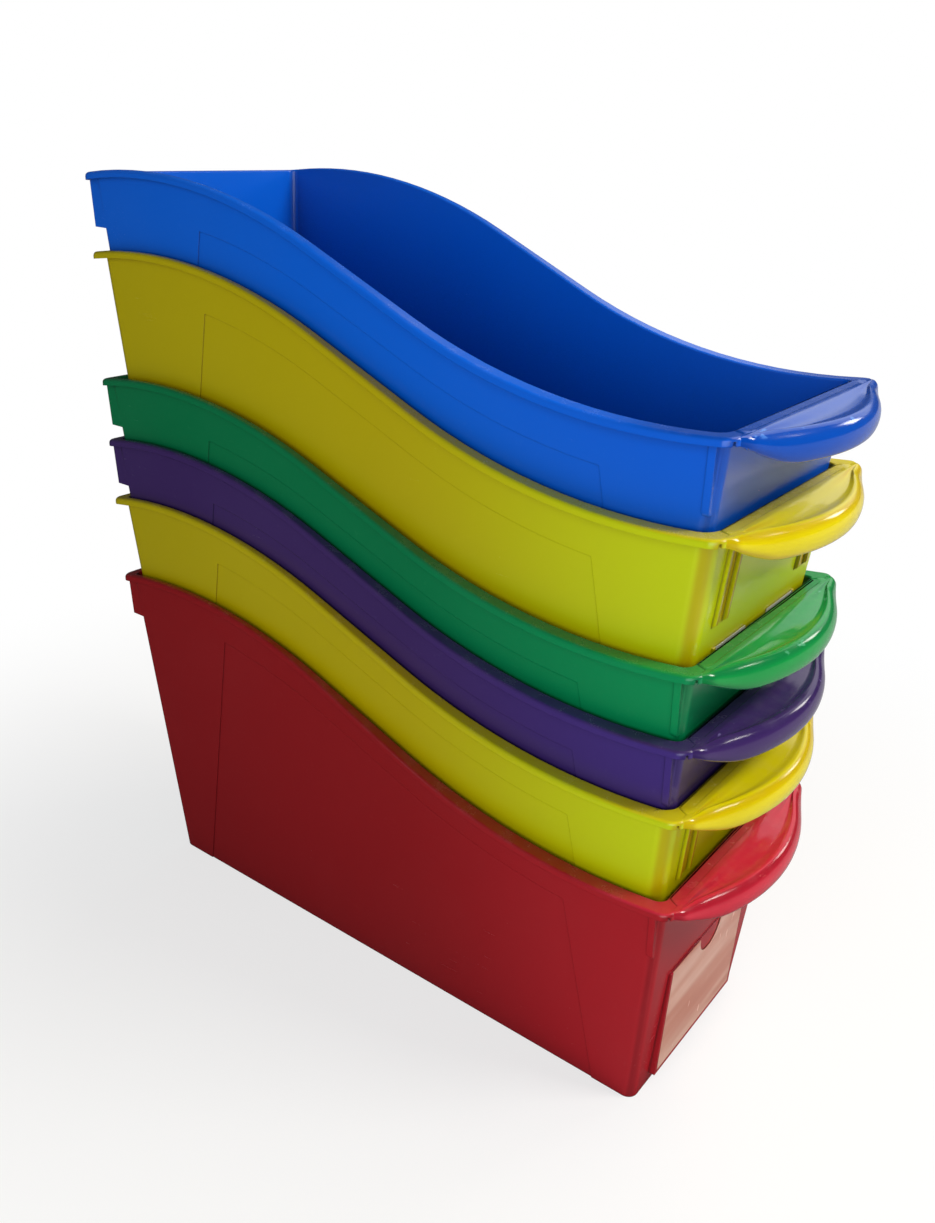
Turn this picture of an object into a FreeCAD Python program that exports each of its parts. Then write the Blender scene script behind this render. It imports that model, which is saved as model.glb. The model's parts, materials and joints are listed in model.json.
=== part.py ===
"""A nested stack of six wave-topped book bins, each a thin drafted moulding with a clear label window."""
import FreeCAD, Part
import math
import os
from dataclasses import dataclass
from FreeCAD import Matrix, Vector

os.makedirs("parts", exist_ok=True)

# Frame: +X towards the handles, +Z up, millimetres, the origin under the middle of the whole stack

# Base and walls
BASE_LENGTH = 308.0
BASE_WIDTH = 106.0
BASE_FORWARD = 1.2
WALL = 1.3
FLOOR = 1.6
DRAFT = 0.063
CRISP_CORNER_RADIUS = 5.0
SOFT_CORNER_RADIUS = 7.0

# Wave of the top edge: a crest near the back, a straight slope and a dip near the front
CREST_SETBACK = 27.8
CREST_HEIGHT = 178.3
DIP_SETBACK = 25.2
DIP_HEIGHT = 116.1
SLOPE_RUN = 57.0

# Rim flange past the walls, with its turned-down edge
RIM_SIDE_OVERHANG = 2.8
RIM_BACK_OVERHANG = 5.0
RIM_FRONT_OVERHANG = 6.5
RIM_CORNER_RADIUS = 6.0
RIM_THICKNESS = 1.5
RIM_DEPTH = 3.2
RIM_EDGE = 1.5

# Half-round pull handle
HANDLE_REACH = 19.3
HANDLE_SHOULDER = 7.0
HANDLE_DEPTH = 12.0
HANDLE_END_DEPTH = 4.0
HANDLE_RUNOUT = 24.0
HANDLE_WALL = 1.6
HANDLE_ROUND = 3.0
HANDLE_ROUND_STEPS = 2
HANDLE_BORDER = 3.0
HANDLE_DISH = 0.8
HANDLE_DISH_RAMP = 2.0

# Shallow panels sunk in the two sides
PANEL_DEPTH = 0.45
PANEL_BELOW_RIM = 20.0
PANEL_BACK_TOP_SETBACK = 60.8
PANEL_BACK_FOOT_SETBACK = 23.8
PANEL_FRONT_TOP_SETBACK = 40.2
PANEL_FRONT_FOOT_SETBACK = 21.2

# Label pocket on the front wall and the clear window in it
POCKET_WIDTH = 78.0
POCKET_BOTTOM = 6.0
POCKET_TOP = 66.0
POCKET_FRAME = 1.8
POCKET_FOOT_STAND = 3.0
POCKET_TOP_STAND = 1.2
WINDOW_THICKNESS = 0.4
WINDOW_CLEARANCE = 0.15
LABEL_SLOT = 0.3
THUMB_NOTCH_RADIUS = 10.5

# Ribs under the rim, which end above the rim of the bin below
RIB_WIDTH = 1.6
RIB_PROUD = 1.6
RIB_FOOT = 1.6
RIB_RIM_CLEARANCE = 3.0
FRONT_RIB_SETBACK = 15.9
FRONT_RIB_CHANNEL = 7.5
CORNER_STRIP_SETBACK = 1.2
CORNER_STRIP_WIDTH = 3.0
CORNER_STRIP_PROUD = 0.8
BACK_RIB_PROUD = 4.6
BACK_RIB_DROP = 23.5

# Nesting: the least gap between two bins, and how far the two upper bins tip forward
SEAT_GAP = 0.3
UPPER_TILT = 1.54

# Working reach of the cutting prisms past the part, and of a rib's root into its wall
SPARE = 20.0
ROOT = 0.3

UP = Vector(0, 0, 1)
FORWARD = Vector(1, 0, 0)
ACROSS = Vector(0, 1, 0)


@dataclass(frozen=True)
class Bin:
    """One bin of the stack.

    Its nest gap is the room between its walls and those of the bin below, its lean is where it sits in
    that room, from -1 against the back to 1 against the front, and its tilt is nose-down in degrees.
    Soft bins have rounder corners, and ribs on the front wall where the others have them behind.
    """

    name: str
    nest_gap: float
    lean: float
    tilt: float
    soft: bool


STACK = (
    Bin("red", 0.0, 0.0, 0.0, False),
    Bin("lower_yellow", 1.4, -1.0, 0.0, True),
    Bin("purple", 0.65, 0.0, 0.0, False),
    Bin("green", 0.65, 0.0, 0.0, False),
    Bin("upper_yellow", 2.25, -0.3, UPPER_TILT, True),
    Bin("blue", 0.9, -1.0, 0.0, False),
)

BASE_BACK = BASE_FORWARD - BASE_LENGTH / 2
BASE_FRONT = BASE_FORWARD + BASE_LENGTH / 2
BASE_HALF = BASE_WIDTH / 2
BLOCK_TOP = CREST_HEIGHT + SPARE


def front_wall(height):
    """Outer face of the front wall at a height."""
    return BASE_FRONT + DRAFT * height


def back_wall(height):
    """Outer face of the back wall at a height."""
    return BASE_BACK - DRAFT * height


def side_wall(height):
    """Outer half width between the side walls at a height."""
    return BASE_HALF + DRAFT * height


RIM_BACK = back_wall(CREST_HEIGHT) - RIM_BACK_OVERHANG
RIM_FRONT = front_wall(DIP_HEIGHT) + RIM_FRONT_OVERHANG
RIM_HALF = side_wall(CREST_HEIGHT) + RIM_SIDE_OVERHANG

# The wave's two arcs share one radius, set by the run, the drop and the straight slope between them
CREST_X = BASE_BACK + CREST_SETBACK
DIP_X = BASE_FRONT - DIP_SETBACK
WAVE_RUN = DIP_X - CREST_X
WAVE_DROP = CREST_HEIGHT - DIP_HEIGHT
WAVE_RADIUS = (WAVE_RUN ** 2 + WAVE_DROP ** 2 - SLOPE_RUN ** 2) / (4 * WAVE_DROP)
ARC_RISE = 2 * WAVE_RADIUS - WAVE_DROP
WAVE_SIN = (2 * WAVE_RADIUS * WAVE_RUN - SLOPE_RUN * ARC_RISE) / (4 * WAVE_RADIUS ** 2 + SLOPE_RUN ** 2)
SLOPE_START = CREST_X + WAVE_RADIUS * WAVE_SIN
SLOPE_END = DIP_X - WAVE_RADIUS * WAVE_SIN


def rim_height(x):
    """Height of the rim's top at a place along the bin."""
    if x <= SLOPE_START:
        return CREST_HEIGHT - WAVE_RADIUS + math.sqrt(WAVE_RADIUS ** 2 - (x - CREST_X) ** 2)
    if x >= SLOPE_END:
        return DIP_HEIGHT + WAVE_RADIUS - math.sqrt(WAVE_RADIUS ** 2 - (x - DIP_X) ** 2)
    share = (x - SLOPE_START) / (SLOPE_END - SLOPE_START)
    return rim_height(SLOPE_START) * (1 - share) + rim_height(SLOPE_END) * share


def lines(points):
    """Straight edges from each point to the next."""
    return [Part.LineSegment(a, b).toShape() for a, b in zip(points, points[1:])]


def wave_edges(start, end, drop):
    """The wave between two places along the bin, lowered by a drop, as arc, line and arc."""

    def at(x):
        return Vector(x, 0, rim_height(x) - drop)

    crest = Part.Arc(at(start), at((start + SLOPE_START) / 2), at(SLOPE_START))
    dip = Part.Arc(at(SLOPE_END), at((SLOPE_END + end) / 2), at(end))
    return [crest.toShape(), *lines([at(SLOPE_START), at(SLOPE_END)]), dip.toShape()]


def across(edges, half):
    """The outline that the edges close, made solid across the bin to both sides of its middle."""
    face = Part.Face(Part.Wire(edges))
    face.translate(ACROSS * -half)
    return face.extrude(ACROSS * (2 * half))


def under_wave(drop):
    """Everything under the wave lowered by a drop."""
    back = RIM_BACK - SPARE
    front = RIM_FRONT + SPARE
    edges = wave_edges(back, front, drop)
    edges += lines([
        Vector(front, 0, rim_height(front) - drop),
        Vector(front, 0, -SPARE),
        Vector(back, 0, -SPARE),
        Vector(back, 0, rim_height(back) - drop),
    ])
    return across(edges, RIM_HALF + SPARE)


def drafted_block(inset, bottom):
    """The bin's drafted block with square corners, set in from the outer walls, to above the rim."""
    lower_half = side_wall(bottom) - inset
    upper_half = side_wall(BLOCK_TOP) - inset
    block = Part.makeWedge(
        back_wall(bottom) + inset,
        bottom,
        -lower_half,
        -upper_half,
        back_wall(BLOCK_TOP) + inset,
        front_wall(bottom) - inset,
        BLOCK_TOP,
        lower_half,
        upper_half,
        front_wall(BLOCK_TOP) - inset,
    )
    block.rotate(Vector(), FORWARD, 90)
    return block


def edges_at(shape, test):
    """The shape's edges whose bounding boxes pass a test."""
    return [edge for edge in shape.Edges if test(edge.BoundBox)]


def rounded_block(inset, bottom, corner_radius):
    """The drafted block with its upright corners rounded."""
    block = drafted_block(inset, bottom)
    corners = edges_at(block, lambda box: box.ZLength > BLOCK_TOP / 2)
    return block.makeFillet(corner_radius - inset, corners)


def rim_slab(inset):
    """A tall slab in the rim's outline, set in by an amount."""
    return Part.makeBox(
        RIM_FRONT - RIM_BACK - 2 * inset,
        2 * (RIM_HALF - inset),
        BLOCK_TOP,
        Vector(RIM_BACK + inset, inset - RIM_HALF, 0),
    )


def rim():
    """The flange round the top, which follows the wave, with its turned-down edge."""
    slab = rim_slab(0)
    slab = slab.makeFillet(RIM_CORNER_RADIUS, edges_at(slab, lambda box: box.ZLength > BLOCK_TOP / 2))
    hollow = rim_slab(RIM_EDGE).common(under_wave(RIM_THICKNESS))
    return slab.common(under_wave(0)).cut([under_wave(RIM_DEPTH), hollow])


def handle():
    """The half-round pull: a dished plate with a rounded border and a hanging lip, turned on one axis."""
    half_chord = RIM_HALF - HANDLE_SHOULDER
    radius = (half_chord ** 2 + HANDLE_REACH ** 2) / (2 * HANDLE_REACH)
    axis_x = RIM_FRONT + HANDLE_REACH - radius
    top = rim_height(RIM_FRONT)
    crest = radius - HANDLE_ROUND
    dish = crest - HANDLE_BORDER
    plate_start = front_wall(top) - WALL / 2 - axis_x
    under_plate = -HANDLE_DISH - HANDLE_WALL

    def at(r, z):
        return Vector(axis_x + r, 0, top + z)

    def border(step):
        turn = math.pi / 2 * step / HANDLE_ROUND_STEPS
        return at(crest + HANDLE_ROUND * math.sin(turn), HANDLE_ROUND * (math.cos(turn) - 1))

    section = lines([
        *(border(step) for step in range(HANDLE_ROUND_STEPS + 1)),
        at(radius, -HANDLE_DEPTH),
        at(radius - HANDLE_WALL, -HANDLE_DEPTH),
        at(radius - HANDLE_WALL, under_plate),
        at(plate_start - SPARE, under_plate),
        at(plate_start - SPARE, -HANDLE_DISH),
        at(dish - HANDLE_DISH_RAMP, -HANDLE_DISH),
        at(dish, 0),
        at(crest, 0),
    ])
    profile = Part.Face(Part.Wire(section))
    half_angle = math.degrees(math.asin(half_chord / radius))
    pivot = Vector(axis_x, 0, 0)
    profile.rotate(pivot, UP, -half_angle)
    turned = profile.revolve(pivot, UP, 2 * half_angle)

    # The lip is level in the middle and curves up to run out at the two ends
    level = half_chord - HANDLE_RUNOUT
    rise = HANDLE_DEPTH - HANDLE_END_DEPTH
    curl = (HANDLE_RUNOUT ** 2 + rise ** 2) / (2 * rise)
    half_turn = math.asin(HANDLE_RUNOUT / curl) / 2
    low_x = front_wall(top) - WALL / 2
    bottom = top - HANDLE_DEPTH

    def lip(y, z):
        return Vector(low_x, y, z)

    def curled(side):
        middle_y = side * (level + curl * math.sin(half_turn))
        return Part.Arc(
            lip(side * level, bottom),
            lip(middle_y, bottom + curl * (1 - math.cos(half_turn))),
            lip(side * half_chord, bottom + rise),
        ).toShape()

    edges = [curled(-1), curled(1)]
    edges += lines([lip(-level, bottom), lip(level, bottom)])
    edges += lines([
        lip(half_chord, bottom + rise),
        lip(half_chord, top + SPARE),
        lip(-half_chord, top + SPARE),
        lip(-half_chord, bottom + rise),
    ])
    kept = Part.Face(Part.Wire(Part.__sortEdges__(edges))).extrude(FORWARD * (HANDLE_REACH + SPARE))
    return turned.common(kept)


def side_panels(outer):
    """The thin slabs that come out of both side walls to leave the sunk panels."""
    back_top = BASE_BACK + PANEL_BACK_TOP_SETBACK
    front_top = BASE_FRONT - PANEL_FRONT_TOP_SETBACK
    edges = wave_edges(back_top, front_top, PANEL_BELOW_RIM)
    edges += lines([
        Vector(front_top, 0, rim_height(front_top) - PANEL_BELOW_RIM),
        Vector(BASE_FRONT - PANEL_FRONT_FOOT_SETBACK, 0, -PANEL_DEPTH),
        Vector(BASE_BACK + PANEL_BACK_FOOT_SETBACK, 0, -PANEL_DEPTH),
        Vector(back_top, 0, rim_height(back_top) - PANEL_BELOW_RIM),
    ])
    return across(edges, RIM_HALF).common(outer).cut(drafted_block(PANEL_DEPTH, -SPARE))


def prism_xz(points, low_y, high_y):
    """A straight-sided prism across the bin from its outline in X and Z."""
    corners = [Vector(x, low_y, z) for x, z in points]
    return Part.Face(Part.makePolygon(corners + corners[:1])).extrude(ACROSS * (high_y - low_y))


def prism_yz(points, low_x, high_x):
    """A straight-sided prism along the bin from its outline in Y and Z."""
    corners = [Vector(low_x, y, z) for y, z in points]
    return Part.Face(Part.makePolygon(corners + corners[:1])).extrude(FORWARD * (high_x - low_x))


def both_sides(shape):
    """The shape and its mirror image in the bin's middle plane."""
    return [shape, shape.mirror(Vector(), ACROSS)]


@dataclass(frozen=True)
class Pocket:
    """The label pocket of one bin: how proud its face stands at its foot and at its top."""

    foot_stand: float
    top_stand: float

    def face(self, height):
        """How far forward the pocket's face is at a height."""
        share = (height - POCKET_BOTTOM) / (POCKET_TOP - POCKET_BOTTOM)
        return front_wall(height) + self.foot_stand * (1 - share) + self.top_stand * share

    def slab(self, front, back, bottom, half):
        """A slab between two depths behind the face, from a height to the pocket's top."""
        outline = [
            (self.face(bottom) - front, bottom),
            (self.face(POCKET_TOP) - front, POCKET_TOP),
            (self.face(POCKET_TOP) - back, POCKET_TOP),
            (self.face(bottom) - back, bottom),
        ]
        return prism_xz(outline, -half, half)

    def block(self):
        """The block that stands on the front wall."""
        outline = [
            (self.face(POCKET_BOTTOM), POCKET_BOTTOM),
            (self.face(POCKET_TOP), POCKET_TOP),
            (front_wall(POCKET_TOP) - ROOT, POCKET_TOP),
            (front_wall(POCKET_BOTTOM) - ROOT, POCKET_BOTTOM),
        ]
        return prism_xz(outline, -POCKET_WIDTH / 2, POCKET_WIDTH / 2)

    def recess(self):
        """The recess for the window and for a label behind it, open at the top."""
        half = POCKET_WIDTH / 2 - POCKET_FRAME
        return self.slab(-SPARE, WINDOW_THICKNESS + LABEL_SLOT, POCKET_BOTTOM + POCKET_FRAME, half)

    def window(self):
        """The clear window: a thin sheet with a half-round thumb notch in its top."""
        half = POCKET_WIDTH / 2 - POCKET_FRAME - WINDOW_CLEARANCE
        bottom = POCKET_BOTTOM + POCKET_FRAME + WINDOW_CLEARANCE
        sheet = self.slab(0, WINDOW_THICKNESS, bottom, half)
        start = Vector(BASE_FRONT - SPARE, 0, POCKET_TOP)
        return sheet.cut(Part.makeCylinder(THUMB_NOTCH_RADIUS, 3 * SPARE, start, FORWARD))


def nest_pitch(gap):
    """How far a bin stands above the one below, from the wall and the gap between the two walls."""
    return (WALL + gap) / DRAFT


def rib_outline(wall, proud, root, soft):
    """Outline of a rib that hangs under the front rim on a drafted wall and runs out at its foot."""
    closest = min(spec.nest_gap for spec in STACK[1:] if spec.soft == soft)
    top = DIP_HEIGHT - RIM_THICKNESS / 2
    bottom = DIP_HEIGHT - nest_pitch(closest) + RIB_RIM_CLEARANCE
    return [
        (wall(top) - root, top),
        (wall(top) + proud, top),
        (wall(bottom + RIB_FOOT) + proud, bottom + RIB_FOOT),
        (wall(bottom), bottom),
        (wall(bottom) - root, bottom),
    ]


def front_ribs():
    """Two ribs with a channel between them on the front wall, near each corner."""
    outline = rib_outline(front_wall, RIB_PROUD, ROOT, True)
    ribs = []
    for offset in (0, RIB_WIDTH + FRONT_RIB_CHANNEL):
        outer_y = side_wall(DIP_HEIGHT) - FRONT_RIB_SETBACK - offset
        ribs += both_sides(prism_xz(outline, outer_y - RIB_WIDTH, outer_y))
    return ribs


def corner_strips():
    """A square strip down each rounded front corner, flush with the front wall's side."""
    outline = rib_outline(side_wall, CORNER_STRIP_PROUD, CRISP_CORNER_RADIUS, False)
    front = front_wall(outline[-1][1]) - CORNER_STRIP_SETBACK
    return both_sides(prism_yz(outline, front - CORNER_STRIP_WIDTH, front))


def back_ribs():
    """Two gusset ribs that carry the rim behind the back wall, in line with the sides."""
    top = rim_height(back_wall(CREST_HEIGHT)) - RIM_THICKNESS / 2
    bottom = top - BACK_RIB_DROP
    outline = [
        (back_wall(top) + CRISP_CORNER_RADIUS, top),
        (back_wall(top) - BACK_RIB_PROUD, top),
        (back_wall(bottom) - BACK_RIB_PROUD, bottom),
        (back_wall(bottom) + CRISP_CORNER_RADIUS, bottom),
    ]
    return both_sides(prism_xz(outline, side_wall(bottom) - RIB_WIDTH, side_wall(bottom)))


def bin_shell(spec, pocket):
    """The moulded bin, in its own frame: walls, rim, handle, sunk panels, pocket and ribs in one piece."""
    corner_radius = SOFT_CORNER_RADIUS if spec.soft else CRISP_CORNER_RADIUS
    outer = rounded_block(0, 0, corner_radius)
    cavity = rounded_block(WALL, FLOOR, corner_radius)
    extras = [rim(), handle(), pocket.block()]
    extras += front_ribs() if spec.soft else corner_strips() + back_ribs()
    shell = outer.common(under_wave(0)).fuse(extras)
    shell = shell.cut([cavity, side_panels(outer), pocket.recess()])
    return shell.removeSplitter()


@dataclass(frozen=True)
class Seat:
    """How one bin sits in the one below: its rise, its tilt in radians and its shift along the bin."""

    rise: float
    tilt: float
    shift: float

    def front_room(self, height):
        """Free room in front of the bin's front wall at a height of its own."""
        toe_rise = self.rise - BASE_FRONT * math.sin(self.tilt)
        return DRAFT * toe_rise - WALL - self.shift - height * math.sin(self.tilt)

    def pocket(self):
        """The label pocket, pressed back by the bin below where that leaves it no room."""
        return Pocket(
            min(POCKET_FOOT_STAND, self.front_room(POCKET_BOTTOM) - SEAT_GAP),
            min(POCKET_TOP_STAND, self.front_room(POCKET_TOP) - SEAT_GAP),
        )

    def matrix(self):
        """The placement relative to the bin below."""
        place = Matrix()
        place.rotateY(self.tilt)
        place.move(Vector(self.shift, 0, self.rise))
        return place


def seat(spec):
    """The seat of a bin, from its nest gap, its tilt and where it leans."""
    rise = nest_pitch(spec.nest_gap)
    tilt = math.radians(spec.tilt)
    heel_room = DRAFT * (rise - BASE_BACK * math.sin(tilt)) - WALL
    toe_room = DRAFT * (rise - BASE_FRONT * math.sin(tilt)) - WALL
    middle = (toe_room - heel_room) / 2
    play = (toe_room + heel_room) / 2 - SEAT_GAP
    return Seat(rise, tilt, middle + spec.lean * play)


def build():
    """Every bin of the stack with its label window, placed, as named shapes."""
    shapes = {}
    place = Matrix()
    for spec in STACK:
        pocket = Pocket(POCKET_FOOT_STAND, POCKET_TOP_STAND)
        if spec is not STACK[0]:
            pocket = seat(spec).pocket()
            place = place.multiply(seat(spec).matrix())
        shapes[f"{spec.name}_bin"] = bin_shell(spec, pocket)
        shapes[f"{spec.name}_label_window"] = pocket.window()
        for piece in ("bin", "label_window"):
            shapes[f"{spec.name}_{piece}"].Placement = FreeCAD.Placement(place)
    return shapes


def main():
    """Build the stack, centre it over the origin and write one file per node."""
    shapes = build()
    box = Part.makeCompound(list(shapes.values())).optimalBoundingBox(False, False)
    centre = Vector(-(box.XMin + box.XMax) / 2, 0, 0)
    for name, shape in shapes.items():
        shape.translate(centre)
        if len(shape.Solids) != 1 or not shape.isValid():
            raise ValueError(f"{name} is not one sound solid")
        shape.exportStep(f"parts/{name}.step")
        print(f"{name}: {shape.Volume / 1000:.1f} cm3")
    print(f"size {box.XLength:.1f} x {box.YLength:.1f} x {box.ZLength:.1f} mm, moved by {centre.x:.3f} mm")


main()
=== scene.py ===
"""Dresses a nested stack of six book bins: glossy moulded plastic, label windows and a pale studio."""
import json
import logging
import math
from dataclasses import dataclass, replace
from enum import Enum
from functools import cache
from typing import Any

import bmesh
import bpy
from mathutils import Color, Matrix, Vector


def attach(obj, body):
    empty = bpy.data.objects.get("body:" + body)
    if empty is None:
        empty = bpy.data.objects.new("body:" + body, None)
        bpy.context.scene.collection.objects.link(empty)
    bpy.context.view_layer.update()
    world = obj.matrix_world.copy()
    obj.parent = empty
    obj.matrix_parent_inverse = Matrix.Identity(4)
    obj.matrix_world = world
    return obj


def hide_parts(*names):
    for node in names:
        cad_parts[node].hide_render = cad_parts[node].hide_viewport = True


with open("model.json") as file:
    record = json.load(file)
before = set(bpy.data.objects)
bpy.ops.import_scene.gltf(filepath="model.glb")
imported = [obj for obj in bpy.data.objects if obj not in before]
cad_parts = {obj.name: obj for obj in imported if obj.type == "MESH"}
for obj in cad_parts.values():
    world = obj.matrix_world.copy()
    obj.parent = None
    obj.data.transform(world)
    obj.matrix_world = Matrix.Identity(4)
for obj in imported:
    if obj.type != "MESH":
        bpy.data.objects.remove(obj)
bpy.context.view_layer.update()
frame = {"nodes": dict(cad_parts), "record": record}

LOG = logging.getLogger("book_bins")
IMAGE_WIDTH = 935
IMAGE_HEIGHT = 1223
MM = 0.001
FULL_LEVEL = 255
NOISE_MIDDLE = 0.5
DOWNWARDS = -0.9

Colour = tuple[float, float, float]
Place = tuple[float, float, float]
Span = tuple[float, float]

WHITE: Colour = (1.0, 1.0, 1.0)
BLACK: Colour = (0.0, 0.0, 0.0)
DUST_COLOUR: Colour = (0.62, 0.6, 0.57)
FORWARDS = Vector((1.0, 0.0, 0.0))
ACROSS = Vector((0.0, 1.0, 0.0))


def srgb(red: int, green: int, blue: int) -> Colour:
    """Turns a screen colour into linear light.

    Args:
        red: Red level, 0 to 255.
        green: Green level, 0 to 255.
        blue: Blue level, 0 to 255.

    Returns:
        The three linear levels, 0 to 1.
    """
    screen = Color((red / FULL_LEVEL, green / FULL_LEVEL, blue / FULL_LEVEL))
    return tuple(screen.from_srgb_to_scene_linear())


class Axis(Enum):
    """The axes of the stack's frame: X forwards, Y across and Z up."""

    X = "X"
    Y = "Y"
    Z = "Z"


class Channel:
    """A number that varies over a surface: a socket that takes part in Python sums."""

    def __init__(self, shader: "Shader", socket: bpy.types.NodeSocket) -> None:
        """Wraps a socket of a shader's nodes."""
        self.shader = shader
        self.socket = socket

    def _maths(self, operation: str, first: "Term", second: "Term") -> "Channel":
        """Adds one Math node and returns its result."""
        node = self.shader.node("ShaderNodeMath", {"operation": operation}, {0: first, 1: second})
        return Channel(self.shader, node.outputs[0])

    def __add__(self, other: "Term") -> "Channel":
        """Sum."""
        return self._maths("ADD", self, other)

    def __radd__(self, other: "Term") -> "Channel":
        """Reflected sum."""
        return self._maths("ADD", other, self)

    def __sub__(self, other: "Term") -> "Channel":
        """Difference."""
        return self._maths("SUBTRACT", self, other)

    def __rsub__(self, other: "Term") -> "Channel":
        """Reflected difference."""
        return self._maths("SUBTRACT", other, self)

    def __mul__(self, other: "Term") -> "Channel":
        """Product."""
        return self._maths("MULTIPLY", self, other)

    def __rmul__(self, other: "Term") -> "Channel":
        """Reflected product."""
        return self._maths("MULTIPLY", other, self)

    def __abs__(self) -> "Channel":
        """Size without its sign."""
        return self._maths("ABSOLUTE", self, 0.0)

    def at_least(self, other: "Term") -> "Channel":
        """The greater of the two."""
        return self._maths("MAXIMUM", self, other)

    def step(self, low: float, high: float) -> "Channel":
        """Rises smoothly from 0 to 1, or falls if the two values are turned round.

        Args:
            low: Where the result is 0.
            high: Where the result is 1.

        Returns:
            The share, 0 to 1.
        """
        settings = {"interpolation_type": "SMOOTHSTEP"}
        inputs = {"Value": self, "From Min": low, "From Max": high}
        node = self.shader.node("ShaderNodeMapRange", settings, inputs)
        return Channel(self.shader, node.outputs["Result"])

    def within(self, start: Span, end: Span) -> "Channel":
        """Rises over the first span and falls over the second, which is turned round."""
        return self.step(*start) * self.step(*end)


Term = Channel | float | int


@dataclass(frozen=True)
class Pattern:
    """Cloudy noise over a surface.

    Attributes:
        scale: Clouds per metre.
        detail: Octaves of finer clouds.
        stretch: Scale along each axis, for streaks.
        turn: Turn about each axis, for slanting streaks.
        span: Where the noise goes from 0 to 1, or None for plain noise about its middle.
    """

    scale: float
    detail: float = 2.0
    stretch: Place = (1.0, 1.0, 1.0)
    turn: Place = (0.0, 0.0, 0.0)
    span: Span | None = None


PLAIN = Pattern(1.0)
CLOUDS = Pattern(9.0, 3.0)
GRAIN = Pattern(1500.0)
SPECKLE = Pattern(420.0, 4.0, span=(0.62, 0.74))
SCRATCHES = Pattern(60.0, 4.0, (1.0, 1.0, 9.0), span=(0.63, 0.7))
SCRATCHED_PATCHES = Pattern(26.0, span=(0.5, 0.68))
DUST = Pattern(110.0, 6.0, span=(0.4, 0.75))
NICKS_AND_GLINTS = Pattern(240.0, 3.0, (1.0, 0.6, 1.0), span=(0.63, 0.7))
WAVES = Pattern(38.0)
RIPPLES = Pattern(170.0, 3.0)
SHEET_BANDS = Pattern(26.0, 2.0, (0.3, 0.3, 2.2), (0.5, 0.0, 0.0))
SHEET_SCRATCHES = Pattern(160.0, 2.0, (1.0, 1.0, 0.3), span=(0.6, 0.8))


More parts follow.
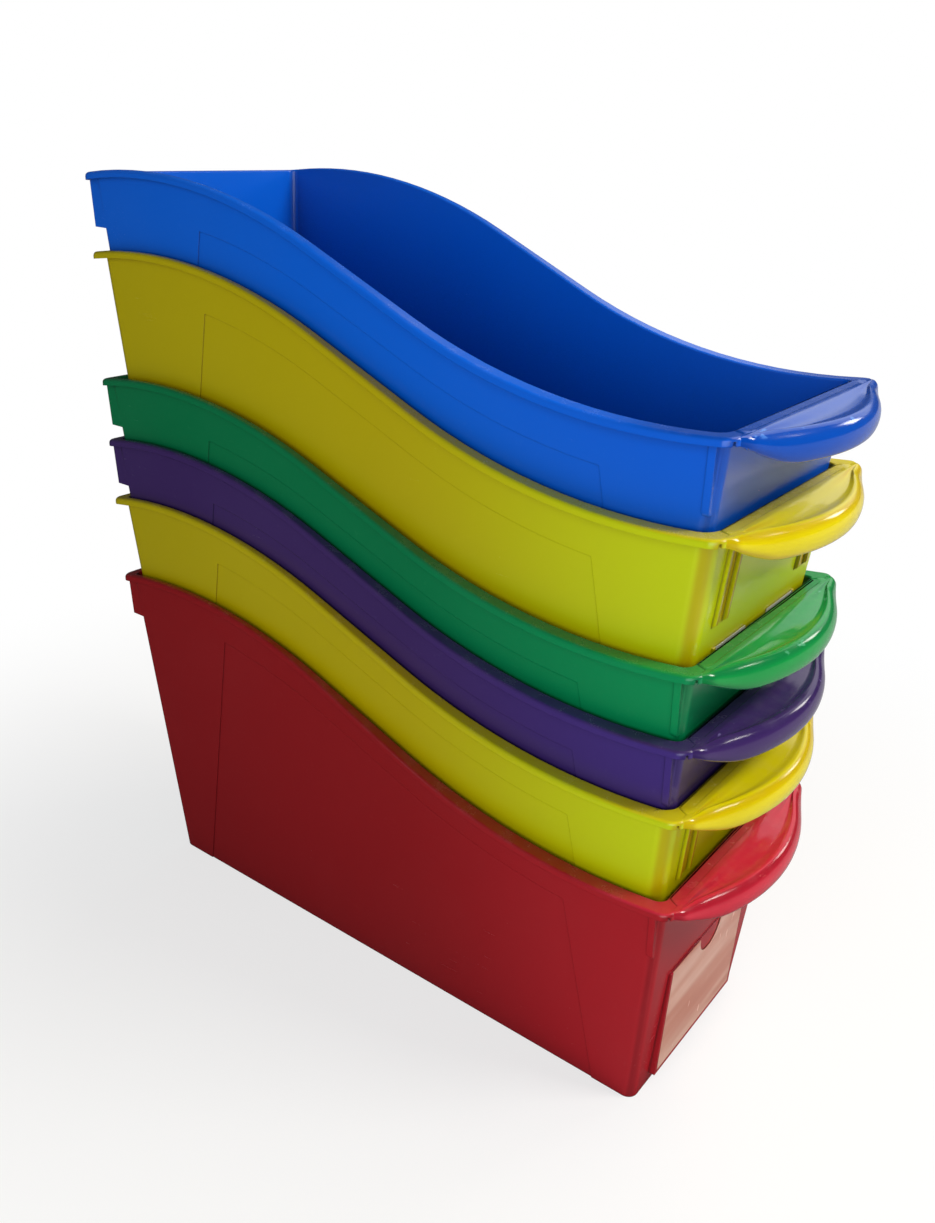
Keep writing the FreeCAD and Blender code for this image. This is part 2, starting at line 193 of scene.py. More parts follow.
class Shader:
    """The node tree of one material or of the world."""

    bevel_samples = 6
    shade_samples = 8

    def __init__(self, tree: bpy.types.NodeTree) -> None:
        """Takes over a node tree and empties it."""
        self.tree = tree
        self.tree.nodes.clear()

    def node(
        self,
        kind: str,
        settings: dict[str, Any] | None = None,
        inputs: dict[str | int, Any] | None = None,
    ) -> bpy.types.Node:
        """Adds a node, sets it up and joins its sockets.

        Args:
            kind: The node's type.
            settings: Its own settings, set first.
            inputs: Values, sockets or channels for its sockets.

        Returns:
            The node.
        """
        node = self.tree.nodes.new(kind)
        for name, value in (settings or {}).items():
            setattr(node, name, value)
        for name, value in (inputs or {}).items():
            self._feed(node.inputs[name], value)
        return node

    def _feed(self, socket: bpy.types.NodeSocket, value: Any) -> None:
        """Links a socket or channel to a socket, or sets its value.

        Args:
            socket: The socket that takes the value.
            value: Number, vector, colour, socket or channel.
        """
        if isinstance(value, Channel):
            self.tree.links.new(value.socket, socket)
        elif isinstance(value, bpy.types.NodeSocket):
            self.tree.links.new(value, socket)
        elif socket.type == "RGBA":
            socket.default_value = (*value, 1.0)
        else:
            socket.default_value = value

    def channel(self, socket: bpy.types.NodeSocket) -> Channel:
        """Makes a number socket fit for sums."""
        return Channel(self, socket)

    def place(self, pattern: Pattern = PLAIN) -> bpy.types.NodeSocket:
        """Object coordinates, turned about and stretched as a pattern needs them.

        Args:
            pattern: The pattern, whose turn and stretch are used.

        Returns:
            The vector socket.
        """
        coordinates = self.node("ShaderNodeTexCoord").outputs["Object"]
        inputs = {"Vector": coordinates, "Rotation": pattern.turn, "Scale": pattern.stretch}
        return self.node("ShaderNodeMapping", None, inputs).outputs[0]

    def noise(self, pattern: Pattern) -> Channel:
        """Lays a pattern over the surface.

        Args:
            pattern: The noise, and the span over which it fades in.

        Returns:
            The noise, 0 to 1.
        """
        inputs = {"Vector": self.place(pattern), "Scale": pattern.scale, "Detail": pattern.detail}
        cloud = self.channel(self.node("ShaderNodeTexNoise", None, inputs).outputs["Fac"])
        return cloud if pattern.span is None else cloud.step(*pattern.span)

    def part_of(self, vector: bpy.types.NodeSocket, axis: Axis) -> Channel:
        """One component of a vector."""
        node = self.node("ShaderNodeSeparateXYZ", None, {"Vector": vector})
        return self.channel(node.outputs[axis.value])

    def along(self, axis: Axis) -> Channel:
        """One object coordinate, in metres."""
        return self.part_of(self.place(), axis)

    def facing(self, axis: Axis) -> Channel:
        """How far the surface faces along an axis, from -1 to 1."""
        return self.part_of(self.node("ShaderNodeNewGeometry").outputs["Normal"], axis)

    def mix(self, factor: Term, first: Any, second: Any) -> bpy.types.NodeSocket:
        """Mixes two colours.

        Args:
            factor: Share of the second colour.
            first: Colour or colour socket.
            second: Colour or colour socket.

        Returns:
            The colour socket.
        """
        settings = {"data_type": "RGBA", "clamp_factor": True}
        return self.node("ShaderNodeMix", settings, {0: factor, 6: first, 7: second}).outputs[2]

    def bump(self, height: Channel, distance: float, strength: float, edge: float) -> bpy.types.NodeSocket:
        """A bumped normal from a height channel, rounded over at edges.

        Args:
            height: Height of the surface, about 0 to 1.
            distance: What a height of 1 stands for, in metres.
            strength: Share of the bump that is used.
            edge: Radius that edges seem to have, in metres.

        Returns:
            The normal socket.
        """
        rounded = self.node("ShaderNodeBevel", {"samples": self.bevel_samples}, {"Radius": edge}).outputs[0]
        inputs = {"Height": height, "Distance": distance, "Strength": strength, "Normal": rounded}
        return self.node("ShaderNodeBump", None, inputs).outputs[0]

    def openness(self, reach: float) -> Channel:
        """How open a place is to its surroundings: 0 in a tight corner and 1 on a free face."""
        node = self.node("ShaderNodeAmbientOcclusion", {"samples": self.shade_samples}, {"Distance": reach})
        return self.channel(node.outputs["AO"])

    def rays(self) -> tuple[Channel, Channel]:
        """Whether the camera sees a place directly, and whether it shows in a gloss."""
        path = self.node("ShaderNodeLightPath").outputs
        return self.channel(path["Is Camera Ray"]), self.channel(path["Is Glossy Ray"])

    def finish(self, surface: bpy.types.Node, output: str = "ShaderNodeOutputMaterial") -> None:
        """Joins the surface shader to the output."""
        self.node(output, None, {"Surface": surface.outputs[0]})


def new_material(name: str) -> tuple[bpy.types.Material, Shader]:
    """Makes an empty node material.

    Args:
        name: The material's name.

    Returns:
        The material, and the shader to fill it with.
    """
    material = bpy.data.materials.new(name)
    material.use_nodes = True
    return material, Shader(material.node_tree)


@dataclass(frozen=True)
class BinPlastic:
    """Glossy polypropylene, moulded in colour, with a little dust, a cloudy film and handling marks, and
    with light and shade painted into its colour.

    A span says where a tone starts and where it is whole. A share says how strongly it shows.
    """

    name: str
    colour: Colour
    lit_colour: Colour
    painted_top_colour: Colour
    painted_shade_colour: Colour
    scuff_and_glint_colour: Colour
    roughness: float = 0.25
    ripple: float = 0.035
    wear_and_glint: float = 0.0
    rib_foot: float | None = None
    refraction: float = 1.49

    front_run: Span = (0.0, 0.18)
    top_run: Span = (0.105, 0.14)
    top_facing: Span = (0.3, 0.85)
    bend_start: Span = (0.2, 0.55)
    bend_end: Span = (0.98, 0.75)
    bend_share: float = 0.55
    shelter_reach: float = 20.0 * MM
    shelter_span: Span = (0.85, 0.3)
    shelter_share: float = 0.45
    inwards_span: Span = (0.0, -0.02)
    inside_reach: float = 300.0 * MM
    inside_span: Span = (0.55, 0.1)
    inside_share: float = 0.8
    inside_level: float = 0.3
    rib_start: Span = (33.0 * MM, 34.4 * MM)
    rib_end: Span = (45.0 * MM, 43.6 * MM)
    rib_facing: Span = (0.5, 0.8)
    rib_run: Span = (0.12, 0.13)
    rib_fade: float = 1.0 * MM
    rib_share: float = 0.8
    corner_reach: float = 1.4 * MM
    corner_span: Span = (0.92, 0.5)
    corner_share: float = 0.4

    haze_level: float = 0.45
    haze_share: float = 0.1
    speckle_share: float = 0.03
    scratch_share: float = 0.008
    dust_facing: Span = (0.35, 0.95)
    dust_share: float = 0.025
    crest_start: Span = (0.5, 0.7)
    crest_end: Span = (0.98, 0.9)

    cloud_dulling: float = 0.06
    scratch_dulling: float = 0.02
    dust_dulling: float = 0.04
    grain_dulling: float = 0.05
    wave_height: float = 0.7
    ripple_height: float = 0.2
    grain_height: float = 0.05
    full_height: float = 0.8 * MM
    edge_round: float = 0.6 * MM

    def material(self) -> bpy.types.Material:
        """Builds the plastic.

        Returns:
            The material.
        """
        material, shader = new_material(self.name)
        clouds = shader.noise(CLOUDS)
        grain = shader.noise(GRAIN)
        scratch = shader.noise(SCRATCHES) * shader.noise(SCRATCHED_PATCHES)
        dust = shader.facing(Axis.Z).step(*self.dust_facing) * shader.noise(DUST)
        colour = self.colour_with_painted_light(shader)
        colour = shader.mix((clouds - self.haze_level) * self.haze_share, colour, self.scuff_and_glint_colour)
        colour = shader.mix(shader.noise(SPECKLE) * self.speckle_share, colour, self.scuff_and_glint_colour)
        colour = shader.mix(scratch * self.scratch_share, colour, self.scuff_and_glint_colour)
        colour = shader.mix(dust * self.dust_share, colour, DUST_COLOUR)
        # Handling nick marks along the pull's crest, in the lighter scuffed colour, which also serve as
        # painted glints.
        nicks_and_glints = shader.facing(Axis.Z).within(self.crest_start, self.crest_end) * shader.noise(NICKS_AND_GLINTS)
        colour = shader.mix(nicks_and_glints * self.wear_and_glint, colour, self.scuff_and_glint_colour)
        roughness = (
            self.roughness
            + (clouds - NOISE_MIDDLE) * self.cloud_dulling
            + scratch * self.scratch_dulling
            + dust * self.dust_dulling
            + (grain - NOISE_MIDDLE) * self.grain_dulling
        )
        height = (
            shader.noise(WAVES) * self.wave_height
            + shader.noise(RIPPLES) * self.ripple_height
            + grain * self.grain_height
        )
        inputs = {
            "Base Color": colour,
            "Roughness": roughness,
            "IOR": self.refraction,
            "Normal": shader.bump(height, self.full_height, self.ripple, self.edge_round),
        }
        shader.finish(shader.node("ShaderNodeBsdfPrincipled", None, inputs))
        return material

    def colour_with_painted_light(self, shader: Shader) -> bpy.types.NodeSocket:
        """The colour of the clean plastic with light and shade painted in: a lighter front, a painted top
        light, and painted shade at bends, in sheltered places, inside and in creases; the rib bands get
        painted shade and a deeper tone where the wall is thicker.

        Args:
            shader: The material's nodes.

        Returns:
            The colour socket.
        """
        forwards = shader.along(Axis.X)
        # Painted light: the plastic is lighter towards the front, where more light falls.
        colour = shader.mix(forwards.step(*self.front_run), self.colour, self.lit_colour)
        # Painted top light: up-facing faces near the front, on the pulls, take a lit tone of their own.
        top = shader.facing(Axis.Z).step(*self.top_facing) * forwards.step(*self.top_run)
        colour = shader.mix(top, colour, self.painted_top_colour)
        # Painted shade on the rounded bends between the front and the sides.
        bend = shader.facing(Axis.X).within(self.bend_start, self.bend_end)
        colour = shader.mix(bend * self.bend_share, colour, self.painted_shade_colour)
        # Painted shade where the plastic is sheltered: under the pull and near the rim of the bin below.
        sheltered = shader.openness(self.shelter_reach).step(*self.shelter_span)
        colour = shader.mix(sheltered * self.shelter_share, colour, self.painted_shade_colour)
        # Painted shade inside the bin, darker towards its bottom.
        inwards = (shader.facing(Axis.Y) * shader.along(Axis.Y)).step(*self.inwards_span)
        inside = shader.openness(self.inside_reach).step(*self.inside_span) * inwards
        darkest = tuple(self.inside_level * level for level in self.painted_shade_colour)
        colour = shader.mix(inside * self.inside_share, colour, darkest)
        # Painted shade on the rib bands, with a deeper tone where the wall is thicker.
        if self.rib_foot is not None:
            colour = shader.mix(self.rib_shade_band(shader) * self.rib_share, colour, self.painted_shade_colour)
        # Painted shade in creases: panel lines, corners and gaps between parts are darkened.
        corner = shader.openness(self.corner_reach).step(*self.corner_span)
        return shader.mix(corner * self.corner_share, colour, BLACK)

    def rib_shade_band(self, shader: Shader) -> Channel:
        """Where the front wall gets painted shade and the deeper tone of its thicker wall: the band of each
        pair of ribs, down to their foot.

        Args:
            shader: The material's nodes.

        Returns:
            The share of the band, 0 to 1.
        """
        band = abs(shader.along(Axis.Y)).within(self.rib_start, self.rib_end)
        front = shader.facing(Axis.X).step(*self.rib_facing) * shader.along(Axis.X).step(*self.rib_run)
        above = shader.along(Axis.Z).step(self.rib_foot - self.rib_fade, self.rib_foot + self.rib_fade)
        return band * front * above


@dataclass(frozen=True)
class ClearSheet:
    """The thin flexible window of a label pocket: clear, a little hazy and scratched, with painted
    reflection streaks in its colour bands.
    """

    name: str
    haze_and_reflection: Colour
    band: Colour
    cover: float
    cover_change: float = 0.4
    band_span: Span = (0.35, 0.65)
    band_height: float = 1.0 * MM
    band_strength: float = 0.25
    edge_round: float = 0.1 * MM
    roughness: float = 0.16
    scratch_dulling: float = 0.2
    refraction: float = 1.5
    coat: float = 0.6
    coat_roughness: float = 0.08

    def material(self) -> bpy.types.Material:
        """Builds the clear sheet.

        Returns:
            The material.
        """
        material, shader = new_material(self.name)
        bands = shader.noise(SHEET_BANDS)
        inputs = {
            # Colour: a hazy tone on the clear sheets and a painted warm reflection on the red bin's sheet,
            # with painted reflection streaks in the bands.
            "Base Color": shader.mix(bands.step(*self.band_span), self.band, self.haze_and_reflection),
            "Roughness": self.roughness + shader.noise(SHEET_SCRATCHES) * self.scratch_dulling,
            "IOR": self.refraction,
            "Alpha": self.cover + (bands - NOISE_MIDDLE) * (self.cover_change * self.cover),
            "Coat Weight": self.coat,
            "Coat Roughness": self.coat_roughness,
            "Normal": shader.bump(bands, self.band_height, self.band_strength, self.edge_round),
        }
        shader.finish(shader.node("ShaderNodeBsdfPrincipled", None, inputs))
        return material


class Level(Enum):
    """The bins of the stack, from the bottom up, by the name of their body."""

    RED = "red"
    LOWER_YELLOW = "lower_yellow"
    PURPLE = "purple"
    GREEN = "green"
    UPPER_YELLOW = "upper_yellow"
    BLUE = "blue"


CLEAR_SHEET = ClearSheet("clear_window_sheet", srgb(238, 238, 234), srgb(226, 226, 218), 0.34)
# The red bin's sheet: its warm tan tone and darker bands are painted reflection, with a high cover so that
# they show.
PAINTED_REFLECTION_SHEET = ClearSheet("painted_reflection_window_sheet", srgb(255, 208, 188), srgb(236, 164, 142), 0.8)

LOWER_YELLOW_PLASTIC = BinPlastic(
    "lower_yellow_plastic",
    colour=srgb(178, 161, 0),
    lit_colour=srgb(194, 208, 0),
    painted_top_colour=srgb(218, 202, 2),
    painted_shade_colour=srgb(176, 136, 0),
    scuff_and_glint_colour=srgb(226, 214, 40),
    rib_foot=119.0 * MM,
)
PLASTICS = {
    Level.RED: BinPlastic(
        "red_plastic",
        colour=srgb(142, 20, 26),
        lit_colour=srgb(172, 24, 36),
        painted_top_colour=srgb(198, 36, 58),
        painted_shade_colour=srgb(120, 14, 24),
        scuff_and_glint_colour=srgb(196, 90, 92),
    ),
    Level.LOWER_YELLOW: LOWER_YELLOW_PLASTIC,
    Level.PURPLE: BinPlastic(
        "purple_plastic",
        colour=srgb(60, 38, 94),
        lit_colour=srgb(66, 44, 124),
        painted_top_colour=srgb(62, 40, 96),
        painted_shade_colour=srgb(42, 26, 80),
        scuff_and_glint_colour=srgb(126, 112, 168),
    ),
    Level.GREEN: BinPlastic(
        "green_plastic",
        colour=srgb(0, 112, 66),
        lit_colour=srgb(0, 142, 82),
        painted_top_colour=srgb(18, 146, 66),
        painted_shade_colour=srgb(0, 92, 54),
        scuff_and_glint_colour=srgb(88, 176, 132),
    ),
    Level.UPPER_YELLOW: replace(LOWER_YELLOW_PLASTIC, name="upper_yellow_plastic", rib_foot=233.0 * MM),
    Level.BLUE: BinPlastic(
        "blue_plastic",
        colour=srgb(0, 94, 212),
        lit_colour=srgb(0, 92, 214),
        painted_top_colour=srgb(0, 72, 176),
        painted_shade_colour=srgb(0, 60, 156),
        scuff_and_glint_colour=srgb(84, 140, 224),
    ),
}


def pull_plastic(plastic: BinPlastic) -> BinPlastic:
    """Polishes a bin's plastic for its pull, as hands do, paints the whole pull in the painted top light
    and adds nick marks that also serve as painted glints.

    Args:
        plastic: The bin's plastic.

    Returns:
        The plastic of the pull.
    """
    return replace(
        plastic,
        name=f"{plastic.name}_pull",
        colour=plastic.painted_top_colour,
        lit_colour=plastic.painted_top_colour,
        rib_foot=None,
        roughness=0.13,
        ripple=0.08,
        wear_and_glint=0.6,
    )


@cache
def material_of(finish: BinPlastic | ClearSheet) -> bpy.types.Material:
    """The one material of a finish, built when it is first asked for."""
    return finish.material()


def smooth_share(value: float) -> float:
    """Eases from 0 to 1 as a value goes from 0 to 1."""
    share = min(max(value, 0.0), 1.0)
    return share * share * (3 - 2 * share)


def smooth_greater(first: float, second: float, blend: float) -> float:
    """The greater of two lengths, with a round transition where they cross."""
    overlap = max(blend - abs(first - second), 0.0) / blend
    return max(first, second) + overlap * overlap * blend / 4


@dataclass(frozen=True)
class BinFrame:
    """The frame of one bin, which may tip in the stack: x forwards, z up from its base."""

    turn: Matrix
    tip: float
    half_width: float
    pull_top: float
    reach: float

    @staticmethod
    def of(mesh: bpy.types.Mesh, reach: float, margin: float = 1.0 * MM) -> "BinFrame":
        """Measures a bin.

        Args:
            mesh: The bin's solid.
            reach: How far the pull stands in front of the rim.
            margin: How far in front of the rim the pull's top is measured.

        Returns:
            The bin's frame.
        """
        underside = [face for face in mesh.polygons if face.normal.z < DOWNWARDS]
        up = -max(underside, key=lambda face: face.area).normal
        forwards = ACROSS.cross(up).normalized()
        turn = Matrix((forwards, ACROSS, up)).to_4x4()
        places = [turn @ vertex.co for vertex in mesh.vertices]
        tip = max(place.x for place in places)
        half_width = max(place.y for place in places)
        pull_top = max(place.z for place in places if place.x > tip - reach + margin)
        return BinFrame(turn, tip, half_width, pull_top, reach)

    @property
    def rim_front(self) -> float:
        """Where the front of the rim is."""
        return self.tip - self.reach

    def world(self) -> Matrix:
        """From this frame to the stack's."""
        return self.turn.inverted()


@dataclass(frozen=True)
class Pull:
    """The half-round pull of a bin: a dished plate with a rolled border that grows out of the rim."""

    frame: BinFrame
    shoulder: float = 7.0 * MM
    corner: float = 6.0 * MM
    blend: float = 12.0 * MM
    blend_end: float = 6.0 * MM
    run: float = 65.5 * MM
    stations: int = 60
    depth: float = 12.0 * MM
    end_depth: float = 2.2 * MM
    runout: float = 30.0 * MM
    crest: float = 4.6 * MM
    drop: float = 6.5 * MM
    drop_share: float = 0.6
    curl: float = 2.2 * MM
    round_steps: int = 6
    dish: float = 1.2 * MM
    dish_run: float = 4.2 * MM
    dish_fall: float = 2.0
    dish_rise: float = 4.0
    dish_steps: int = 9
    wall: float = 1.8 * MM
    margin: float = 0.1 * MM
    proud: float = 0.06 * MM
    tuck: float = 2.1 * MM
    least_lip: float = 0.4 * MM
    least_width: float = 1.4 * MM
    merge: float = 4.5 * MM
    rim_slope: float = 0.15
    sunk: float = 0.6 * MM
    nudge: float = 0.1 * MM

    def edge_at(self, y: float) -> float:
        """The pull's outer edge in plan: the rim's corner, blended into the arc of the pull.

        Args:
            y: A place across the bin.

        Returns:
            How far forwards the edge is there.
        """
        half_chord = self.frame.half_width - self.shoulder
        reach = self.frame.reach - self.margin
        radius = (half_chord ** 2 + reach ** 2) / (2 * reach)
        arc = self.frame.rim_front + reach - radius + math.sqrt(radius ** 2 - y ** 2)
        past = max(abs(y) - (self.frame.half_width - self.corner), 0.0)
        rim = self.frame.rim_front - self.corner + math.sqrt(self.corner ** 2 - past ** 2)
        grown = smooth_share((self.run - abs(y)) / self.blend_end)
        return max(arc, rim) + grown * (smooth_greater(arc, rim, self.blend) - max(arc, rim))

    def outwards_at(self, y: float) -> Vector:
        """The direction in plan that the outer edge faces.

        Args:
            y: A place across the bin.

        Returns:
            The direction, of unit length.
        """
        rise = self.edge_at(y + self.nudge) - self.edge_at(y - self.nudge)
        return Vector((1.0, -rise / (2 * self.nudge), 0.0)).normalized()

    def section(self, width: float, y: float) -> list[tuple[float, float]]:
        """The closed section at a station, as distance in from the edge and height over the pull's top.

        Args:
            width: Room between the edge and the back of the section.
            y: Where the station is across the bin.

        Returns:
            The section's corners, from the back over the border and round under the plate.
        """
        inner = self.run - abs(y)
        scale = min(width / (self.crest + self.dish_run), 1.0)
        grown = math.sin(math.pi / 2 * min(inner / self.runout, 1.0))
        depth = self.end_depth + (self.depth - self.end_depth) * grown
        dish = self.dish * smooth_share(inner / self.runout) * scale
        crest = self.crest * scale
        drop = min(self.drop, self.drop_share * depth)
        curl = self.curl * scale
        under = min(dish + self.wall, depth - self.least_lip)
        back = max(width - self.tuck, crest)
        plate = [(width, 0.0)]
        for step in range(self.dish_steps):
            share = step / self.dish_steps
            hollow = smooth_share(self.dish_fall * share) * smooth_share(self.dish_rise * (1 - share))
            plate.append((back + (crest - back) * share, -dish * hollow))
        quarter = [math.pi / 2 * step / self.round_steps for step in range(self.round_steps + 1)]
        bead = [(crest * (1 - math.sin(turn)), -drop * (1 - math.cos(turn))) for turn in quarter]
        lip = [
            (curl * (1 - math.cos(turn)), -drop - (depth - drop) * math.sin(turn)) for turn in quarter[1:]
        ]
        inside = curl + self.wall * scale
        return [*plate, *bead, *lip, (inside, -depth + self.least_lip), (inside, -under), (width, -under)]

    def ring(self, y: float) -> list[Vector]:
        """Places the section of one station.

        Args:
            y: Where the station is across the bin.

        Returns:
            The section's corners in the bin's frame.
        """
        outwards = self.outwards_at(y)
        edge = Vector((self.edge_at(y), y, self.frame.pull_top + self.proud))
        width = max(edge.x - self.frame.rim_front + self.tuck, self.least_width)
        sink = self.sunk * smooth_share(1 - (self.run - abs(y)) / self.merge)
        places = []
        for inwards, height in self.section(width, y):
            lean = smooth_share((width - inwards) / width)
            direction = outwards * lean + FORWARDS * (1 - lean)
            place = edge - direction * (inwards + sink) + Vector((0.0, 0.0, height - sink))
            place.z -= self.rim_slope * max(self.frame.rim_front - place.x, 0.0)
            places.append(place)
        return places

    def build(self) -> bmesh.types.BMesh:
        """Makes the pull in the stack's frame.

        Returns:
            The mesh, closed all round.
        """
        work = bmesh.new()
        world = self.frame.world()
        rings = []
        for index in range(self.stations + 1):
            y = -self.run * math.cos(math.pi * index / self.stations)
            rings.append([work.verts.new(world @ place) for place in self.ring(y)])
        for before, after in zip(rings, rings[1:]):
            for first, second in zip(range(-1, len(before) - 1), range(len(before))):
                work.faces.new((before[first], before[second], after[second], after[first]))
        work.faces.new(rings[0])
        work.faces.new(list(reversed(rings[-1])))
        bmesh.ops.recalc_face_normals(work, faces=work.faces)
        return work


@dataclass
class BookBin:
    """One bin of the stack with its pull and its label window."""

    level: Level
    plastic: bpy.types.Material
    pull_plastic: bpy.types.Material
    clear: bpy.types.Material
    weld: float = 0.002 * MM
    flat_angle: float = math.radians(0.5)
    smooth_angle: float = math.radians(48.0)
    pull_reach: float = 19.3 * MM
    cut_back: float = 0.02 * MM
    rim_round: float = 1.7 * MM
    inner_round: float = 1.0 * MM
    least_top: float = 6.0 * MM ** 2
    rim_steps: int = 4
    rim_band: float = 30.0 * MM
    steep: float = 0.4

    def build(self) -> list[bpy.types.Object]:
        """Makes the bin's shell, pull and window.

        Returns:
            The three pieces.
        """
        bin_frame = BinFrame.of(frame["nodes"][self.node("bin")].data, self.pull_reach)
        shell = self.welded("bin")
        self.trim_pull(shell, bin_frame)
        self.round_rim(shell, bin_frame, self.rim_round, True)
        self.round_rim(shell, bin_frame, self.inner_round, False)
        pieces = [
            self.finish_piece(self.node("bin_dressed"), shell, self.plastic),
            self.finish_piece(self.node("pull"), Pull(bin_frame).build(), self.pull_plastic),
            self.finish_piece(self.node("window_dressed"), self.welded("label_window"), self.clear),
        ]
        shell_piece, pull_piece, window_piece = pieces
        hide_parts(self.node("bin"))
        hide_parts(self.node("label_window"))
        for piece in (shell_piece, pull_piece):
            self.slot_of(self.node("bin"))
        self.slot_of(self.node("label_window"))
        return pieces

    def node(self, part: str) -> str:
        """The name of one of the bin's nodes or pieces."""
        return f"{self.level.value}_{part}"

    def slot_of(self, node: str) -> str:
        """The record's material slot of a node."""
        return next(row["material_slot"] for row in frame["record"]["subparts"] if row["node"] == node)

    def welded(self, part: str) -> bmesh.types.BMesh:
        """Copies a node's solid and joins its triangles into whole faces.

        Args:
            part: The node's name without the bin's.

        Returns:
            The mesh.
        """
        work = bmesh.new()
        work.from_mesh(frame["nodes"][self.node(part)].data)
        bmesh.ops.remove_doubles(work, verts=work.verts, dist=self.weld)
        bmesh.ops.dissolve_limit(
            work, angle_limit=self.flat_angle, verts=work.verts, edges=work.edges, delimit=set()
        )
        return work

    def trim_pull(self, shell: bmesh.types.BMesh, bin_frame: BinFrame) -> None:
        """Cuts the shell off at the front of its rim, where the finer pull takes over.

        Args:
            shell: The bin's mesh.
            bin_frame: The bin's frame.
        """
        world = bin_frame.world()
        cut = bmesh.ops.bisect_plane(
            shell,
            geom=shell.verts[:] + shell.edges[:] + shell.faces[:],
            plane_co=world @ (FORWARDS * (bin_frame.rim_front - self.cut_back)),
            plane_no=world.to_3x3() @ FORWARDS,
            clear_outer=True,
        )
        rim = [item for item in cut["geom_cut"] if isinstance(item, bmesh.types.BMEdge)]
        bmesh.ops.holes_fill(shell, edges=rim)

    def round_rim(self, shell: bmesh.types.BMesh, bin_frame: BinFrame, radius: float, outer: bool) -> None:
        """Rounds one edge of the rim's top.

        Args:
            shell: The bin's mesh.
            bin_frame: The bin's frame.
            radius: How round the edge gets.
            outer: Whether it is the outer edge, or else the inner one.
        """
        edges = [edge for edge in shell.edges if self.is_rim_edge(edge, bin_frame, outer)]
        bmesh.ops.bevel(
            shell,
            geom=edges,
            offset=radius,
            offset_type="OFFSET",
            segments=self.rim_steps,
            profile=0.5,
            affect="EDGES",
            clamp_overlap=False,
            material=-1,
        )

    def is_rim_edge(self, edge: bmesh.types.BMEdge, bin_frame: BinFrame, outer: bool) -> bool:
        """Tells whether an edge lies between the rim's top and its outer or inner side.

        Args:
            edge: The edge.
            bin_frame: The bin's frame.
            outer: Which of the two sides is meant.

        Returns:
            True if it does.
        """
        if len(edge.link_faces) != 2 or not edge.is_convex:
            return False
        upper, side = sorted(edge.link_faces, key=lambda face: -face.normal.z)
        middle = bin_frame.turn @ ((edge.verts[0].co + edge.verts[1].co) / 2)
        outwards = side.normal.dot(bin_frame.world().to_3x3() @ Vector((middle.x, middle.y, 0.0))) > 0
        return (
            upper.normal.z > 1 - self.steep
            and abs(side.normal.z) < self.steep
            and middle.z > bin_frame.pull_top - self.rim_band
            and upper.calc_area() > self.least_top
            and outwards == outer
        )

    def finish_piece(
        self, name: str, work: bmesh.types.BMesh, material: bpy.types.Material
    ) -> bpy.types.Object:
        """Turns a working mesh into a smooth-shaded piece that rides on the bin.

        Args:
            name: The piece's name.
            work: Its mesh, which is used up.
            material: Its finish.

        Returns:
            The piece.
        """
        for face in work.faces:
            face.smooth = True
        for edge in work.edges:
            edge.smooth = len(edge.link_faces) == 2 and edge.calc_face_angle() < self.smooth_angle
        mesh = bpy.data.meshes.new(name)
        work.to_mesh(mesh)
        work.free()
        mesh.materials.append(material)
        piece = bpy.data.objects.new(name, mesh)
        bpy.context.scene.collection.objects.link(piece)
        weighted = piece.modifiers.new("flat_faces_stay_flat", "WEIGHTED_NORMAL")
        weighted.keep_sharp = True
        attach(piece, self.level.value)
        LOG.info("%s: %d faces", piece.name, len(mesh.polygons))
        return piece


@dataclass(frozen=True)
class Softbox:
    """A soft square lamp that looks at a point of the stack."""

    name: str
    place: Place
    aim: Place
    size: float
    power: float
    colour: Colour

    def build(self) -> None:
        """Hangs the lamp."""
        lamp = bpy.data.lights.new(self.name, "AREA")
        lamp.shape = "SQUARE"
        lamp.size = self.size
        lamp.energy = self.power
        lamp.color = self.colour
        holder = bpy.data.objects.new(self.name, lamp)
        bpy.context.scene.collection.objects.link(holder)
        direction = Vector(self.aim) - Vector(self.place)
        turn = direction.to_track_quat("-Z", "Y").to_matrix().to_4x4()
        holder.matrix_world = Matrix.Translation(self.place) @ turn


@dataclass(frozen=True)
class Viewpoint:
    """The camera, placed as the photograph was taken."""

    place: Place = (295.3 * MM, -388.6 * MM, 396.5 * MM)
    azimuth: float = math.radians(36.62)
    elevation: float = math.radians(24.11)
    roll: float = math.radians(1.73)
    focal_pixels: float = 1083.3
    centre_x: float = 469.1
    centre_y: float = 618.9
    sensor_width: float = 36.0
    nearest: float = 10.0 * MM

    def build(self) -> None:
        """Sets up the scene's camera."""
        camera = bpy.data.cameras.new("viewpoint")
        camera.sensor_width = self.sensor_width
        camera.lens = self.focal_pixels * self.sensor_width / IMAGE_HEIGHT
        camera.shift_x = (IMAGE_WIDTH / 2 - self.centre_x) / IMAGE_HEIGHT
        camera.shift_y = (self.centre_y - IMAGE_HEIGHT / 2) / IMAGE_HEIGHT
        camera.clip_start = self.nearest
        holder = bpy.data.objects.new("viewpoint", camera)
        bpy.context.scene.collection.objects.link(holder)
        away = Vector((
            math.sin(self.azimuth) * math.cos(self.elevation),
            -math.cos(self.azimuth) * math.cos(self.elevation),
            math.sin(self.elevation),
        ))
        level = Vector((math.cos(self.azimuth), math.sin(self.azimuth), 0.0))
        upright = away.cross(level)
        right = level * math.cos(self.roll) + upright * math.sin(self.roll)
        up = upright * math.cos(self.roll) - level * math.sin(self.roll)
        turn = Matrix((right, up, away)).transposed().to_4x4()
        holder.matrix_world = Matrix.Translation(self.place) @ turn
        bpy.context.scene.camera = holder


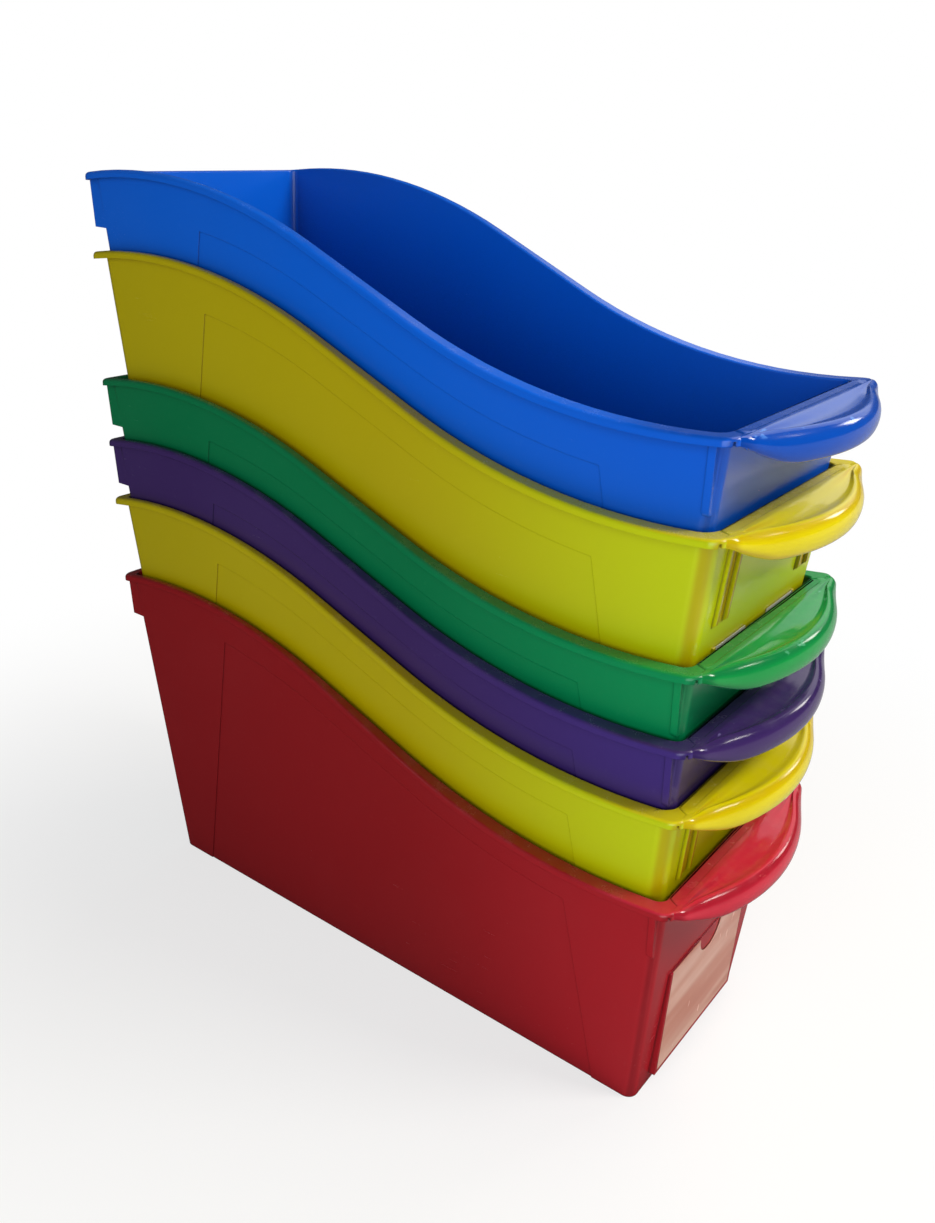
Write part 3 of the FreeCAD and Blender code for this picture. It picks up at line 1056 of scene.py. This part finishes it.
@dataclass(frozen=True)
class Studio:
    """A pale floor, a white surround and soft lamps."""

    floor_half: float = 12.0
    floor_colour: Colour = (0.86, 0.86, 0.86)
    fill: float = 0.2
    sheen_fill: float = 0.05
    shadow_share: float = 0.32
    shadow_run: Span = (0.18, 0.55)
    dark_sheen: float = 0.03
    bright_sheen: float = 0.5
    bright_towards: tuple[float, float] = (0.6, 0.8)
    bright_run: Span = (0.0, 0.35)
    lamps: tuple[Softbox, ...] = (
        Softbox("front_window", (0.3, -0.68, 0.4), (0.08, 0.0, 0.18), 0.6, 3.1, (0.9, 0.98, 1.0)),
        Softbox("room_top", (0.35, 0.3, 1.2), (0.1, 0.0, 0.25), 0.6, 4.6, (1.0, 0.86, 0.66)),
        Softbox("far_window", (0.02, 1.35, 1.15), (0.1, 0.0, 0.2), 1.1, 3.6, (0.94, 0.97, 1.0)),
        Softbox("side_window", (0.63, 1.16, 0.79), (0.17, 0.0, 0.2), 0.24, 1.8, (1.0, 0.97, 0.92)),
        Softbox("right_window", (0.7, 0.2, 0.85), (0.15, 0.0, 0.18), 0.3, 5.6, (1.0, 0.96, 0.92)),
    )

    def build(self) -> None:
        """Builds the floor, the surround, the lamps and the camera."""
        self.build_floor()
        self.build_surround()
        for lamp in self.lamps:
            lamp.build()
        Viewpoint().build()
        bpy.context.scene.view_settings.view_transform = "Standard"

    def build_floor(self) -> None:
        """Lays the floor, which turns plain white away from the stack."""
        work = bmesh.new()
        bmesh.ops.create_grid(work, x_segments=1, y_segments=1, size=self.floor_half)
        mesh = bpy.data.meshes.new("floor")
        work.to_mesh(mesh)
        work.free()
        mesh.materials.append(self.floor_material())
        floor = bpy.data.objects.new("floor", mesh)
        bpy.context.scene.collection.objects.link(floor)

    def floor_material(self) -> bpy.types.Material:
        """Makes the floor's finish: matt under the stack, and white to the camera farther off.

        Returns:
            The material.
        """
        material, shader = new_material("pale_floor")
        distance = shader.node("ShaderNodeVectorMath", {"operation": "LENGTH"}, {0: shader.place()})
        away = shader.channel(distance.outputs["Value"]).step(*self.shadow_run)
        seen, mirrored = shader.rays()
        forwards, across = self.bright_towards
        bright_side = shader.along(Axis.X) * forwards + shader.along(Axis.Y) * across
        sheen = self.dark_sheen + bright_side.step(*self.bright_run) * (self.bright_sheen - self.dark_sheen)
        glow = shader.mix(seen + mirrored * sheen, BLACK, WHITE)
        white = shader.node("ShaderNodeEmission", None, {"Color": glow})
        matt = shader.node("ShaderNodeBsdfDiffuse", None, {"Color": self.floor_colour})
        share = (seen * (1 - (1 - away) * self.shadow_share)).at_least(mirrored)
        inputs = {0: share, 1: matt.outputs[0], 2: white.outputs[0]}
        shader.finish(shader.node("ShaderNodeMixShader", None, inputs))
        return material

    def build_surround(self) -> None:
        """Makes the surround white to the camera and a gentle fill to everything else."""
        world = bpy.data.worlds.new("surround")
        world.use_nodes = True
        bpy.context.scene.world = world
        shader = Shader(world.node_tree)
        seen, mirrored = shader.rays()
        strength = self.fill + seen * (1.0 - self.fill) + mirrored * (self.sheen_fill - self.fill)
        sky = shader.node("ShaderNodeBackground", None, {"Color": WHITE, "Strength": strength})
        shader.finish(sky, "ShaderNodeOutputWorld")


def main() -> None:
    """Dresses every bin, from the bottom up, then sets up the studio."""
    logging.basicConfig(level=logging.INFO)
    for level, plastic in PLASTICS.items():
        sheet = PAINTED_REFLECTION_SHEET if level is Level.RED else CLEAR_SHEET
        finishes = (plastic, pull_plastic(plastic), sheet)
        BookBin(level, *(material_of(finish) for finish in finishes)).build()
    Studio().build()


if __name__ == "__main__":
    main()
